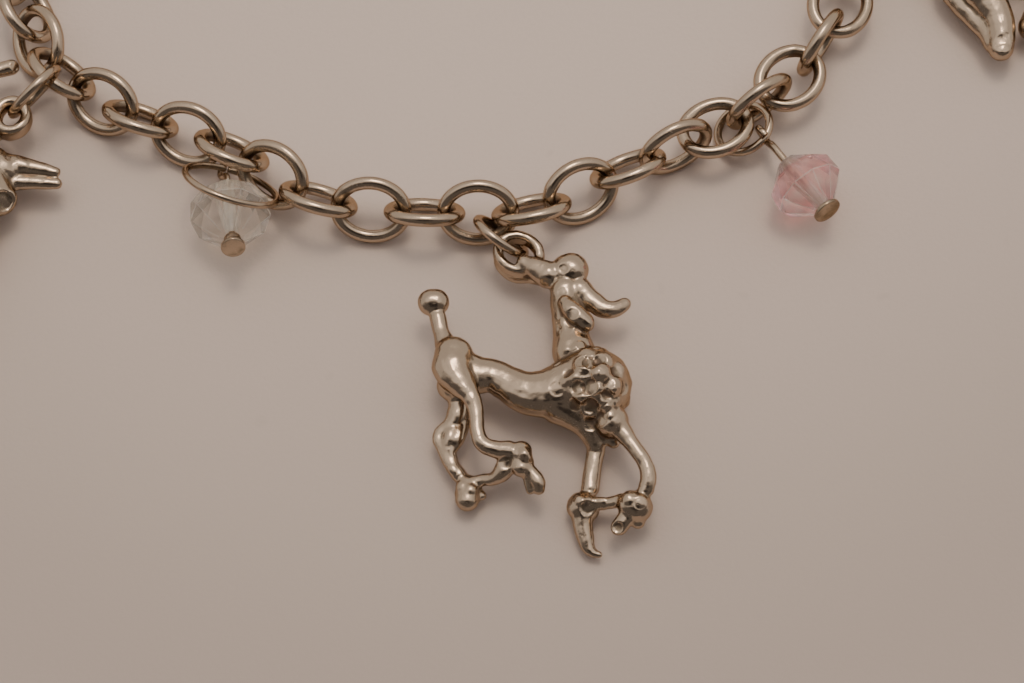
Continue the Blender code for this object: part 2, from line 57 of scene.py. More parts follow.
MM = 0.001
FRAME_WIDTH, FRAME_HEIGHT, SENSOR = 1024, 683, 36.0
LINKS = [f"link_{number:02d}" for number in range(1, 42)]

# Jump rings: outer diameter and wire in millimetres, and where the cut is, in degrees from the top
RINGS = {
    "poodle_ring": (5.45, 0.78, 200.0),
    "clear_ring": (8.40, 0.55, 150.0),
    "pink_ring": (5.30, 0.70, 120.0),
    "left_animal_ring": (6.00, 0.82, 230.0),
    "right_animal_ring": (5.60, 0.82, 150.0),
}

# Limbs of the cast animals, by name: stations of x, y, z and radius in hundredths of the animal's size.
# x and y are measured from the middle of its eye and z from the surface
POODLE = {
    "neck": [(13.3, -12.6, 11.1, 4.4), (13.7, -16.6, 10.7, 4.7), (14.4, -21.4, 10.7, 5.0),
             (15.0, -26.9, 10.7, 5.3), (15.7, -32.6, 11.4, 6.3)],
    "topknot": [(14.4, -6.4, 11.4, 5.1), (15.1, -6.2, 11.4, 5.2)],
    "muzzle": [(17.4, -12.6, 11.1, 4.0), (19.9, -15.2, 11.1, 3.4), (21.8, -16.6, 11.1, 3.2),
               (24.5, -18.6, 11.1, 2.9), (27.0, -18.9, 11.1, 2.6), (29.1, -18.0, 11.1, 2.3),
               (30.4, -17.1, 11.1, 2.0)],
    "near_ear": [(13.3, -18.6, 15.0, 2.1), (14.6, -20.8, 15.7, 2.7), (16.9, -23.3, 15.7, 2.9),
                 (18.9, -25.2, 15.2, 2.8)],
    "neck_fold_1": [(10.9, -22.0, 12.4, 0.9), (11.4, -27.0, 12.8, 1.0), (12.0, -33.0, 13.6, 1.1)],
    "neck_fold_2": [(12.6, -24.0, 14.2, 0.9), (13.4, -28.0, 14.6, 1.0), (13.6, -34.0, 15.8, 1.1)],
    "neck_fold_3": [(15.4, -27.5, 14.8, 0.9), (15.6, -30.0, 15.2, 1.0), (15.8, -34.0, 16.4, 1.1)],
    "neck_fold_4": [(18.6, -27.5, 13.4, 1.0), (18.2, -30.0, 14.2, 1.1), (18.0, -34.0, 15.8, 1.2)],
    "far_ear": [(11.9, -13.5, 7.5, 1.7), (14.5, -15.2, 6.4, 2.6), (17.4, -17.6, 6.1, 2.8),
                (19.3, -20.1, 6.4, 2.5)],
    "body": [(-18.5, -36.4, 11.4, 5.7), (-12.1, -39.7, 11.1, 5.7), (-7.7, -40.0, 11.1, 5.0),
             (-3.4, -42.2, 11.1, 5.3), (0.9, -44.8, 11.1, 6.2), (5.4, -45.7, 11.1, 6.9),
             (11.7, -44.9, 11.4, 8.3), (17.3, -43.8, 11.8, 9.5)],
    "mane": [(20.7, -43.3, 12.0, 11.0), (21.0, -43.3, 12.0, 11.0)],
    "chest": [(11.8, -48.0, 10.6, 6.6), (17.0, -51.6, 9.8, 5.6), (20.0, -55.4, 8.8, 4.2),
              (21.7, -59.4, 7.4, 3.0)],
    "chest_knob": [(24.6, -57.6, 8.6, 2.2), (26.7, -59.2, 8.0, 2.0)],
    "tail": [(-20.8, -30.7, 12.1, 3.2), (-22.3, -26.3, 12.1, 2.4), (-23.3, -21.8, 12.1, 2.5)],
    "tail_pom": [(-25.1, -17.0, 12.1, 4.1), (-24.0, -17.0, 12.1, 4.1)],
    "near_hind_leg": [(-18.6, -34.6, 13.2, 5.7), (-18.8, -38.9, 13.9, 6.0), (-16.2, -44.2, 14.6, 4.3),
                      (-13.7, -48.1, 15.0, 2.8), (-12.4, -51.5, 14.8, 2.4), (-11.9, -55.3, 14.4, 2.2),
                      (-11.6, -58.9, 14.2, 2.2), (-10.1, -62.2, 13.6, 2.4), (-6.7, -63.5, 12.9, 2.7),
                      (-3.1, -63.5, 12.1, 2.9)],
    "near_hind_pom": [(0.7, -63.7, 11.8, 3.1), (0.6, -68.4, 11.4, 2.9)],
    "near_hind_paw": [(1.7, -68.2, 11.0, 2.3), (3.6, -70.2, 10.7, 2.2), (5.3, -72.5, 10.4, 2.2),
                      (5.5, -74.2, 9.6, 1.9)],
    "near_hind_toe": [(2.4, -70.0, 10.2, 1.7), (2.8, -72.2, 9.6, 1.6), (3.2, -74.3, 8.8, 1.4)],
    "far_hind_leg": [(-18.2, -41.9, 9.0, 5.2), (-17.0, -46.7, 7.8, 3.2), (-17.6, -50.5, 7.2, 3.2),
                     (-19.6, -53.6, 6.6, 2.5), (-22.8, -56.2, 6.2, 1.7), (-21.5, -60.4, 5.8, 1.9),
                     (-19.3, -64.5, 5.4, 2.2), (-16.9, -68.1, 5.1, 2.3)],
    "far_hind_web": [(-15.9, -52.0, 5.8, 2.4), (-17.5, -57.6, 6.8, 2.3), (-18.7, -60.1, 6.4, 1.8)],
    "far_hind_fill": [(-18.6, -54.0, 6.6, 2.4), (-19.4, -57.2, 7.0, 2.4), (-20.0, -60.4, 6.4, 1.9),
                      (-18.8, -63.5, 5.8, 1.6)],
    "far_hind_pom": [(-14.6, -71.1, 4.8, 3.2), (-14.6, -75.5, 4.8, 3.4)],
    "hind_bridge": [(-13.8, -71.1, 5.6, 2.3), (-10.3, -70.3, 6.6, 1.8), (-7.3, -70.4, 7.8, 2.0),
                    (-4.5, -68.8, 9.4, 2.9), (-3.1, -66.0, 10.8, 2.9)],
    "far_hind_paw": [(-12.4, -72.5, 4.6, 1.9), (-10.5, -74.0, 4.2, 1.4)],
    "far_fore_leg": [(21.8, -56.1, 8.0, 3.2), (21.9, -59.6, 6.8, 2.7), (21.2, -64.2, 6.0, 2.6),
                     (20.5, -68.2, 5.4, 2.6), (20.0, -72.1, 5.2, 2.7)],
    "far_fore_cuff": [(17.6, -77.7, 4.9, 4.3), (18.3, -77.7, 4.9, 4.3)],
    "far_fore_paw": [(17.7, -79.6, 4.8, 3.2), (17.9, -83.2, 4.0, 2.8), (18.6, -86.6, 3.4, 2.5),
                     (19.4, -89.4, 3.0, 2.0), (21.1, -91.0, 2.8, 1.4), (22.5, -91.4, 3.0, 1.0)],
    "fore_bridge": [(19.9, -77.2, 5.6, 2.0), (24.4, -77.7, 7.2, 1.8), (28.8, -77.2, 8.6, 2.0)],
    "near_fore_leg": [(26.2, -54.7, 12.4, 4.9), (28.7, -57.5, 12.4, 3.2), (31.1, -61.0, 12.6, 2.3),
                      (33.4, -64.3, 12.5, 2.2), (35.3, -67.6, 12.1, 2.2), (36.2, -71.4, 11.4, 2.4),
                      (35.5, -74.7, 10.4, 2.4)],
    "near_fore_cuff": [(31.7, -79.1, 9.4, 4.3), (33.0, -79.4, 8.8, 4.5)],
    "near_fore_paw": [(31.0, -80.9, 8.6, 2.9), (29.3, -83.1, 8.2, 2.6), (27.9, -85.0, 7.6, 2.5)],
    "near_fore_toe": [(33.0, -81.8, 7.8, 2.2), (33.2, -83.2, 7.2, 2.1)],
    "eye_stem": [(1.5, -3.5, 11.1, 2.3), (5.0, -5.4, 11.1, 3.4), (8.7, -7.7, 11.1, 4.2)],
    "eye_lip": [(-6.0, 0.9, 8.4, 1.5), (-4.9, -3.1, 7.4, 1.9), (-1.3, -5.8, 7.0, 2.1),
                (3.2, -6.2, 7.4, 2.3), (7.0, -7.5, 8.8, 2.6)],
}
LEFT_ANIMAL = {
    "upper_jaw": [(-23.9, -12.4, 12.0, 7.7), (-15.0, -15.0, 12.0, 8.8), (-5.3, -18.7, 12.0, 4.8),
                  (4.6, -20.4, 12.0, 3.9), (13.7, -22.2, 12.0, 2.8), (18.1, -23.2, 12.0, 2.1)],
    "cheek": [(-6.0, -20.0, 12.2, 7.2), (0.0, -22.6, 11.8, 5.6), (4.0, -23.4, 10.8, 3.8)],
    "mouth": [(2.0, -23.6, 9.6, 3.4), (9.0, -24.6, 9.4, 2.6), (15.5, -25.2, 9.4, 2.0)],
    "lower_jaw": [(-6.3, -27.8, 11.0, 4.8), (2.0, -27.2, 11.0, 3.4), (8.7, -27.0, 11.0, 2.8),
                  (14.0, -27.3, 11.0, 2.7), (18.7, -27.6, 11.0, 2.3)],
    "horn": [(-24.0, -9.0, 12.0, 6.0), (-22.0, 8.0, 11.5, 3.6), (-15.1, 18.6, 11.5, 3.1),
             (-8.4, 21.0, 11.5, 3.1), (-2.0, 22.9, 11.5, 3.2)],
    "eye_stem": [(-6.0, -4.5, 10.6, 4.0), (-12.0, -11.0, 11.4, 6.0)],
    "throat": [(-16.0, -19.6, 12.5, 10.2), (-6.8, -28.4, 12.0, 8.4), (-2.3, -34.6, 11.6, 6.7)],
    "chest": [(-7.0, -35.2, 12.0, 7.3), (-13.7, -44.4, 12.5, 11.0), (-24.0, -55.0, 13.0, 12.5),
              (-42.0, -60.0, 13.0, 12.5), (-58.0, -58.0, 12.0, 11.0)],
    "fore_leg": [(-22.0, -62.0, 9.0, 6.0), (-20.0, -74.0, 6.0, 4.4), (-18.0, -88.0, 5.0, 4.2),
                 (-14.0, -90.0, 4.6, 4.0)],
    "hind_leg": [(-60.0, -60.0, 9.0, 7.0), (-62.0, -74.0, 6.0, 4.6), (-58.0, -88.0, 5.0, 4.2),
                 (-54.0, -90.0, 4.6, 4.0)],
}
RIGHT_ANIMAL = {
    "trunk": [(14.0, -12.0, 13.5, 8.5), (26.0, -13.0, 13.5, 10.0), (44.0, -12.0, 13.5, 10.5),
              (60.0, -11.0, 13.0, 9.5), (70.0, -11.0, 12.6, 8.5)],
    "first_leg": [(24.6, -14.0, 13.5, 10.9), (28.7, -28.5, 13.5, 10.1), (33.2, -36.8, 13.2, 8.0),
                  (36.9, -45.7, 12.4, 6.6), (37.3, -53.0, 11.6, 5.8), (36.8, -57.8, 11.0, 5.5)],
    "side_ridge": [(17.0, -18.0, 11.6, 5.4), (17.5, -27.0, 10.2, 5.4), (22.6, -36.1, 9.8, 5.2),
                   (27.0, -42.0, 9.6, 4.8), (31.8, -49.0, 9.6, 4.4), (34.0, -55.0, 9.8, 4.2)],
    "side_fill": [(23.0, -28.0, 11.4, 5.6), (27.0, -35.0, 11.0, 5.2), (30.0, -42.0, 10.6, 4.8),
                  (33.2, -49.0, 10.4, 4.4)],
    "second_leg": [(64.0, -13.4, 12.5, 8.1), (59.5, -27.7, 11.2, 6.9), (54.6, -39.1, 10.2, 6.3),
                   (51.2, -46.6, 9.8, 6.3)],
    "third_leg": [(72.0, -12.0, 12.0, 8.0), (78.0, -26.0, 10.0, 5.6), (77.0, -38.0, 8.0, 4.4),
                  (79.0, -48.0, 7.0, 4.2)],
    "neck": [(62.0, -8.0, 13.0, 8.0), (72.0, 4.0, 13.0, 5.8), (78.0, 9.0, 13.0, 5.6),
             (88.0, 3.0, 12.5, 4.0)],
    "eye_stem": [(5.4, -5.0, 13.6, 3.6), (12.0, -9.0, 13.5, 6.0)],
}

# Cast animals: limbs, size, ring, eye's place from the ring's middle in millimetres, eye's height from
# the surface, half length, half width and wire in hundredths of the size, its turn, flattening along z
ANIMALS = {
    "poodle": (POODLE, 28.0, "poodle_ring", (1.449, -1.782, 0.504), (10.2, 6.3, 5.5, 3.1), -35.0, 0.84),
    "left_animal": (LEFT_ANIMAL, 22.0, "left_animal_ring", (-1.861, -2.113, -0.410),
                    (13.9, 5.7, 6.6, 4.4), 0.0, 0.86),
    "right_animal": (RIGHT_ANIMAL, 20.0, "right_animal_ring", (2.480, -0.621, -0.357),
                     (14.0, 6.8, 6.4, 4.7), 0.0, 0.86),
}

# Dents and bumps pressed into the castings where the picture shows them: across, down and radius in
# pixels of the picture, and depth in millimetres, which is negative for a bump
POODLE_MARKS = [
    (583, 359, 9, 0.30), (592, 361, 10, 0.34), (600, 359, 7, 0.24), (589, 386, 9, 0.30),
    (577, 388, 8, 0.24), (589.5, 407, 9, 0.28), (557, 388, 8, 0.10), (562, 398, 7, 0.08),
    (568, 372, 6, 0.16), (609, 384, 6, 0.10), (607, 395, 6, 0.14), (624, 388, 7, 0.14),
    (575, 405, 8, 0.18), (616, 372, 7, 0.12), (600, 419, 9, 0.18), (590, 424, 8, 0.14),
    (581, 347, 7, -0.14), (594, 348, 7, -0.12), (597, 374, 6, -0.10), (578, 376, 6, -0.10),
    (599, 401, 6, -0.12), (556, 364, 6, -0.12), (564, 381, 5, -0.10), (609, 411, 8, -0.16),
    (618, 402, 6, -0.12), (601, 389, 5, -0.10), (614, 389, 5, -0.10), (630, 372, 6, -0.14),
    (633, 386, 6, -0.12), (628, 402, 6, -0.12), (563, 268, 5, 0.14), (573, 314, 6, 0.10),
    (582, 328, 8, 0.10), (562, 292, 5, 0.08), (524, 452, 6, -0.12), (580, 500, 6, -0.16),
    (588, 508, 8, 0.22), (628, 498, 7, -0.14), (640, 503, 7, 0.12), (618, 528, 6, 0.30),
    (545, 283, 5, 0.08), (505, 462, 7, 0.12), (600, 500, 7, -0.16), (451, 470, 6, -0.10),
]

SIDE_MARKS = [(4, 201, 11, 0.50), (14, 196, 7, -0.14), (16, 66, 5, 0.12), (20, 165, 8, -0.10),
              (1007, 35, 3, 0.08), (1003, 43, 9, 0.10), (1004, 52, 9, -0.08)]

# Bead drops: diameter in millimetres, then in diameters the bead's length, hole, flat end's radius and
# half the girdle's height, pin wire, head's diameter and thickness, collar's diameter and length, the
# distance from the bead's middle to the eye's far side and the eye's outer diameter; then the pin's
# direction and the eye's turn about it
DROPS = {
    "clear": (6.6, 0.84, 0.17, 0.16, 0.085, 0.076, 0.303, 0.05, 0.212, 0.14, 0.877, 0.333,
              (0.129, -0.932, 0.336), 46.0),
    "pink": (6.0, 0.90, 0.17, 0.16, 0.11, 0.100, 0.400, 0.05, 0.16, 0.0, 1.000, 0.383,
             (0.522, -0.842, 0.125), 90.0),
}

# Directions towards the camera and towards the brightest part of the soft light
FACING = Vector((0.0, -0.438, 0.899))
BRIGHTEST = Vector((0.05, 0.33, 0.943))

# Soldered joint of a link: its place round the oval and its spread, in radians
JOINT_TURN, JOINT_SPREAD = 2.45, 0.13
# Jump rings: gap where they are cut and rounding of the cut's edges
RING_GAP, RING_EDGE = math.radians(2.2), 0.05 * MM
# Clasp: wire of its eyes, length over both, rounding as a share of the bar's height
CLASP_WIRE, CLASP_LENGTH, CLASP_ROUNDING = 1.0 * MM, 14.0 * MM, 0.24
# Skin of the castings: size and height of its unevenness in millimetres, coarse and fine
SKIN = ((1.2, 0.09), (0.5, 0.022))
# Hollows: the depth that counts as full, and its share after some rounds of spreading and after the last
HOLLOW_DEPTH, HOLLOW_ROUNDS = 0.26 * MM, {10: 0.35, 59: 1.0}
# Bead edges with a painted highlight: least length, and least height above the bead's middle on the head's
# side
HIGHLIT_EDGE_LENGTH, HIGHLIT_EDGE_HEIGHT = 1.6 * MM, 0.3 * MM
# Painted shade, drawn as the dark patina, on the part of each pin past its bead
PIN_PAINTED_SHADE = {"clear": 0.28, "pink": 0.42}
# Film on the silver, thin and thick, and the tint of its reflections at a glancing angle; the thick one also
# serves as painted shade
THIN_FILM, THICK_PATINA_AND_SHADE, GLANCE = (0.37, 0.295, 0.22), (0.26, 0.21, 0.15), (0.66, 0.54, 0.43, 1.0)


class ChainSettings(bpy.types.PropertyGroup):
    """Sizes of the links and the clasp, and the silver's colours."""

    length: bpy.props.FloatProperty(
        name="Link length", description="Outside length of an oval link",
        default=6.76 * MM, min=0.002, max=0.02, precision=5, unit="LENGTH")
    width: bpy.props.FloatProperty(
        name="Link width", description="Outside width of an oval link",
        default=5.65 * MM, min=0.002, max=0.02, precision=5, unit="LENGTH")
    wire: bpy.props.FloatProperty(
        name="Link wire", description="Thickness of the links' round wire",
        default=1.08 * MM, min=0.0003, max=0.004, precision=5, unit="LENGTH")
    solder: bpy.props.FloatProperty(
        name="Solder swell", description="How much thicker the soldered joint is",
        default=0.05, min=0.0, max=0.2, subtype="FACTOR")
    silver: bpy.props.FloatVectorProperty(
        name="Silver", description="Colour of the polished silver",
        default=(0.475, 0.385, 0.292), min=0.0, max=1.0, subtype="COLOR")
    # Darkest patina colour, also used as painted shade where the mask carries it
    tarnish_and_shade: bpy.props.FloatVectorProperty(
        name="Tarnish", description="Colour of the film in the hollows",
        default=(0.205, 0.155, 0.115), min=0.0, max=1.0, subtype="COLOR")
    polish: bpy.props.FloatProperty(
        name="Roughness", description="Roughness of the polished silver",
        default=0.075, min=0.0, max=1.0, subtype="FACTOR")


class CastingSettings(bpy.types.PropertyGroup):
    """How finely the cast animals are shaped."""

    grain: bpy.props.FloatProperty(
        name="Grain", description="Cell size of the castings' skin",
        default=0.12 * MM, min=0.00005, max=0.001, precision=6, unit="LENGTH")
    softness: bpy.props.IntProperty(
        name="Softness", description="Rounds of smoothing where limbs meet",
        default=7, min=0, max=40)
    dents: bpy.props.FloatProperty(
        name="Dent depth", description="Strength of the pressed dents and bumps",
        default=1.0, min=0.0, max=2.0, subtype="FACTOR")


class BeadSettings(bpy.types.PropertyGroup):
    """Cut and colours of the crystal beads."""

    sides: bpy.props.IntProperty(
        name="Facets", description="Facets round each half of a bead",
        default=10, min=6, max=16)
    edge: bpy.props.FloatProperty(
        name="Edge", description="Width of the polished edges between facets",
        default=0.04 * MM, min=0.0, max=0.0005, precision=6, unit="LENGTH")
    clear: bpy.props.FloatVectorProperty(
        name="Clear crystal", description="Colour of the clear bead",
        default=(1.0, 0.985, 0.94), min=0.0, max=1.0, subtype="COLOR")
    pink: bpy.props.FloatVectorProperty(
        name="Pink crystal", description="Colour of the pink bead's body",
        default=(1.0, 0.91, 0.90), min=0.0, max=1.0, subtype="COLOR")
    # Painted refraction: the deeper colour along the rim
    rim: bpy.props.FloatVectorProperty(
        name="Pink rim", description="Colour of the pink bead along its rim",
        default=(1.0, 0.44, 0.48), min=0.0, max=1.0, subtype="COLOR")


class StageSettings(bpy.types.PropertyGroup):
    """Surface, light and camera."""

    elevation: bpy.props.FloatProperty(
        name="Camera elevation", description="Its angle above the surface",
        default=math.radians(64.0), min=0.1, max=1.57, subtype="ANGLE", unit="ROTATION")
    distance: bpy.props.FloatProperty(
        name="Camera distance", description="From it to the picture's middle",
        default=0.240, min=0.05, max=2.0, subtype="DISTANCE", unit="LENGTH")
    middle: bpy.props.FloatVectorProperty(
        name="Picture middle", description="Point in mid picture",
        default=(0.0023, -0.0186, 0.0), precision=5, subtype="TRANSLATION", unit="LENGTH")
    lens: bpy.props.FloatProperty(
        name="Lens", description="Focal length of the camera in millimetres",
        default=103.78, min=10.0, max=400.0)
    surface: bpy.props.FloatVectorProperty(
        name="Surface", description="Colour of the surface",
        default=(0.80, 0.70, 0.64), min=0.0, max=1.0, subtype="COLOR")
    glow: bpy.props.FloatProperty(
        name="Glow", description="Strength of the soft light all round",
        default=3.05, min=0.0, max=20.0)
    lamp: bpy.props.FloatProperty(
        name="Lamp", description="Strength of the soft lamp over the back",
        default=0.34, min=0.0, max=100.0)


class Wire:
    """An output of a shader node. Sums written with it add their Math nodes."""

    def __init__(self, shades, socket):
        self.shades, self.socket = shades, socket

    def math(self, operation, *values):
        return self.shades.add("ShaderNodeMath", {"operation": operation}, dict(enumerate(values)))

    def __add__(self, other):
        return self.math("ADD", self, other)

    def __mul__(self, other):
        return self.math("MULTIPLY", self, other)

    def __sub__(self, other):
        return self.math("SUBTRACT", self, other)

    def __rsub__(self, other):
        return self.math("SUBTRACT", other, self)

    __radd__, __rmul__ = __add__, __mul__

    def between(self, low, high, to_low=0.0, to_high=1.0):
        """Smoothly from to_low to to_high as the value goes from low to high."""
        return self.shades.add("ShaderNodeMapRange", {"interpolation_type": "SMOOTHSTEP"},
                               {0: self, 1: low, 2: high, 3: to_low, 4: to_high})


class Shades:
    """Writes a node tree. add() makes one node from its settings and sockets and gives its output."""

    def __init__(self, tree):
        self.tree = tree
        tree.nodes.clear()

    def add(self, kind, settings, sockets, output=0):
        node = self.tree.nodes.new(kind)
        for name, value in settings.items():
            setattr(node, name, value)
        for name, value in sockets.items():
            if isinstance(value, Wire):
                self.tree.links.new(value.socket, node.inputs[name])
            else:
                node.inputs[name].default_value = value
        return Wire(self, node.outputs[output]) if node.outputs else None

    def mix(self, first, second, share):
        """Colour between two colours."""
        sockets = {0: share, 6: first, 7: second}
        for key in (6, 7):
            if not isinstance(sockets[key], Wire):
                sockets[key] = (*tuple(sockets[key])[:3], 1.0)
        return self.add("ShaderNodeMix", {"data_type": "RGBA"}, sockets, 2)

    def noise(self, where, scale, detail=2.0):
        return self.add("ShaderNodeTexNoise", {}, {"Vector": where, "Scale": scale, "Detail": detail})


def new_material(name):
    """A material, its empty tree and the wire of its object coordinates."""
    made = bpy.data.materials.new(name)
    made.use_nodes = True
    shades = Shades(made.node_tree)
    where = shades.add("ShaderNodeTexCoord", {}, {}, 3)
    return made, shades, where


def close_material(shades, sockets, height, distance):
    """Principled shader with a bump, into the output."""
    bump = shades.add("ShaderNodeBump", {}, {"Strength": 1.0, "Distance": distance, "Height": height})
    shader = shades.add("ShaderNodeBsdfPrincipled", {}, {**sockets, "Normal": bump})
    shades.add("ShaderNodeOutputMaterial", {}, {"Surface": shader})


def silver_material(name, wear=1.0, pitted=0.0, patina_and_shade_amount=1.0):
    """Warm polished silver with fine scratches, small pits and a brown patina, which is real in the hollows
    and painted shade on the sides facing down, inside the links and on the pin heads.
    """
    chain = bpy.context.scene.bracelet_chain
    made, shades, where = new_material(name)
    patina_and_shade = shades.add("ShaderNodeAttribute", {"attribute_name": "patina_and_shade"}, {}, 2)
    clouds = shades.noise(where, 420.0, 3.0)
    grime = shades.noise(where, 1700.0, 4.0)
    fine = shades.noise(where, 9000.0, 3.0)
    along = shades.add("ShaderNodeMapping", {}, {"Vector": where, "Rotation": (0.3, 0.5, 0.9),
                                                 "Scale": (1.0, 9.0, 9.0)})
    scratches = shades.noise(along, 2600.0, 2.0).between(0.60, 0.78)
    # Patina share: real patina in the hollows plus painted shade from the mask, broken up by noise
    patina_and_shade_share = (patina_and_shade * 1.25 + (grime - 0.5) * 0.55 + (clouds - 0.5) * 0.35).between(0.18, 0.95) * patina_and_shade_amount
    stain = (clouds * 0.6 + grime * 0.4).between(0.50, 0.68) * (0.16 * patina_and_shade_amount)
    colour = shades.mix(tuple(chain.silver), THIN_FILM, stain)
    colour = shades.mix(colour, THICK_PATINA_AND_SHADE, patina_and_shade_share.between(0.05, 0.55))
    colour = shades.mix(colour, tuple(chain.tarnish_and_shade), patina_and_shade_share.between(0.40, 1.0))
    dull = clouds.between(0.45, 0.62) * 0.08
    rough = chain.polish + dull + fine * (0.07 * wear) + scratches * (0.10 * wear)
    rough = rough + patina_and_shade_share * 0.25 + 0.08 * pitted
    pits = shades.noise(where, 2300.0, 2.0).between(0.62, 0.75) * pitted
    height = fine * 0.10 + scratches * -0.25 * wear + grime * (0.5 + pitted) - pits
    close_material(shades, {"Base Color": colour, "Metallic": 1.0, "Roughness": rough,
                            "Specular Tint": GLANCE}, height, 0.012 * MM)
    return made


def crystal_material(name, body, rim, alpha):
    """Clear crystal with fine wear on the facets. Its colour deepens towards the rim, a painted stand-in for
    refraction.
    """
    made, shades, where = new_material(name)
    edge = shades.add("ShaderNodeAttribute", {"attribute_name": "rim"}, {}, 2)
    clouds = shades.noise(where, 700.0, 3.0)
    fine = shades.noise(where, 5200.0, 3.0)
    # Painted refraction: share of the deeper rim colour
    share = (edge * 1.10 + (clouds - 0.5) * 0.9).between(0.50, 1.05)
    colour = shades.mix(body, rim, share)
    rough = fine.between(0.55, 0.80) * 0.08 + 0.025
    close_material(shades, {"Base Color": colour, "Roughness": rough, "IOR": 1.46,
                            "Transmission Weight": 0.93, "Alpha": alpha},
                   clouds * 0.7 + fine * 0.15, 0.010 * MM)
    return made


def drilled_material(name, body, alpha=0.7):
    """Ground crystal, which scatters light: real in the drilled hole, and a painted highlight on the long
    bead edges.
    """
    made, shades, where = new_material(name)
    streaks = shades.noise(where, 3100.0, 4.0)
    colour = shades.mix(body, (0.96, 0.88, 0.76), streaks.between(0.3, 0.8))
    close_material(shades, {"Base Color": colour, "Roughness": streaks * 0.25 + 0.28, "IOR": 1.46,
                            "Transmission Weight": 0.45, "Alpha": alpha}, streaks, 0.02 * MM)
    return made


def surface_material(name, colour):
    """Matt pale paper with a faint tooth and cloudy tone, and a painted light falloff that darkens it with
    distance from a point near the middle.
    """
    made, shades, where = new_material(name)
    clouds = shades.noise(where, 9.0, 3.0)
    tooth = shades.noise(where, 2600.0, 5.0)
    specks = shades.noise(where, 260.0, 1.0).between(0.74, 0.78)
    x, y = (shades.add("ShaderNodeSeparateXYZ", {}, {0: where}, k) for k in range(2))
    # Painted light falloff: darker with distance from the point x 0, y 0.03
    painted_light_falloff = (x * x + (y - 0.03) * (y - 0.03)).between(0.0002, 0.0070)
    tone = colour
    for darker, share in ((0.94, clouds.between(0.3, 0.7)), (0.9, tooth.between(0.45, 0.85) * 0.35),
                          (0.86, specks * 0.5), (0.70, painted_light_falloff)):
        tone = shades.mix(tone, tuple(part * darker for part in colour), share)
    close_material(shades, {"Base Color": tone, "Roughness": 0.82 + tooth * 0.12,
                            "Specular IOR Level": 0.25}, tooth, 0.02 * MM)
    return made


def select_only(*items):
    """Select these objects and no others; the first is the active one."""
    bpy.ops.object.select_all(action="DESELECT")
    for item in items:
        item.select_set(True)
    bpy.context.view_layer.objects.active = items[0]


def joined(items):
    select_only(*items)
    bpy.ops.object.join()
    return bpy.context.object


def modified(item, kind, **settings):
    """Adds a modifier and applies it."""
    select_only(item)
    modifier = item.modifiers.new(kind.title(), kind)
    for name, value in settings.items():
        setattr(modifier, name, value)
    bpy.ops.object.modifier_apply(modifier=modifier.name)


def settled(item, place=None):
    """Puts the object's place into its mesh."""
    if place is not None:
        item.matrix_world = place @ item.matrix_world
    select_only(item)
    bpy.ops.object.transform_apply(location=True, rotation=True, scale=True)
    return item


def outward(item):
    """Merge doubles and turn the faces outwards."""
    select_only(item)
    bpy.ops.object.mode_set(mode="EDIT")
    bpy.ops.mesh.select_all(action="SELECT")
    bpy.ops.mesh.remove_doubles(threshold=0.000002)
    bpy.ops.mesh.normals_make_consistent(inside=False)
    bpy.ops.object.mode_set(mode="OBJECT")
    return item


def finished(item, name, materials, nodes, angle=40.0):
    """Names a piece, gives it its look, and puts it in the place of its CAD nodes."""
    item.name = item.data.name = name
    item.data.materials.clear()
    for look in materials:
        item.data.materials.append(look)
    select_only(item)
    bpy.ops.object.shade_smooth_by_angle(angle=math.radians(angle))
    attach(item, "root")
    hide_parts(*nodes)


def points_of(mesh):
    points = np.empty(len(mesh.vertices) * 3)
    mesh.vertices.foreach_get("co", points)
    return points.reshape(-1, 3)


def store(item, name, values):
    """Keeps one number per point of the mesh, for the materials."""
    layer = item.data.attributes.get(name) or item.data.attributes.new(name, "FLOAT", "POINT")
    layer.data.foreach_set("value", np.clip(values, 0.0, 1.0).astype(np.float32))


def cad_points(node):
    """Corners of a CAD node, each one once."""
    return np.unique(np.round(points_of(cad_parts[node].data), 7), axis=0)


def cad_place(node):
    """Where a flat oval of the CAD lies: its middle, X along it, Y across it and Z out of its plane."""
    points = cad_points(node)
    middle = points.mean(0)
    axes = np.linalg.eigh(np.cov((points - middle).T))[1]
    along, across = Vector(axes[:, 2]), Vector(axes[:, 1])
    place = Matrix((along, across, along.cross(across))).transposed().to_4x4()
    place.translation = Vector(middle)
    return place


def turned_to(normal, along, centre):
    """A placing whose Z is the normal and whose X lies along the given direction."""
    z = Vector(normal).normalized()
    x = (Vector(along) - z * Vector(along).dot(z)).normalized()
    place = Matrix((x, z.cross(x), z)).transposed().to_4x4()
    place.translation = Vector(centre)
    return place


def oval_wire(half_length, half_width, wire, steps, sides):
    """A closed oval of round wire in the XY plane, drawn as a circle and stretched."""
    bpy.ops.curve.primitive_bezier_circle_add(radius=1.0, enter_editmode=True)
    bpy.ops.transform.resize(value=(half_length, half_width, 1.0))
    bpy.ops.object.mode_set(mode="OBJECT")
    oval = bpy.context.object
    oval.data.dimensions, oval.data.fill_mode = "3D", "FULL"
    oval.data.resolution_u, oval.data.bevel_depth, oval.data.bevel_resolution = steps, wire / 2.0, sides
    bpy.ops.object.convert(target="MESH")
    return bpy.context.object


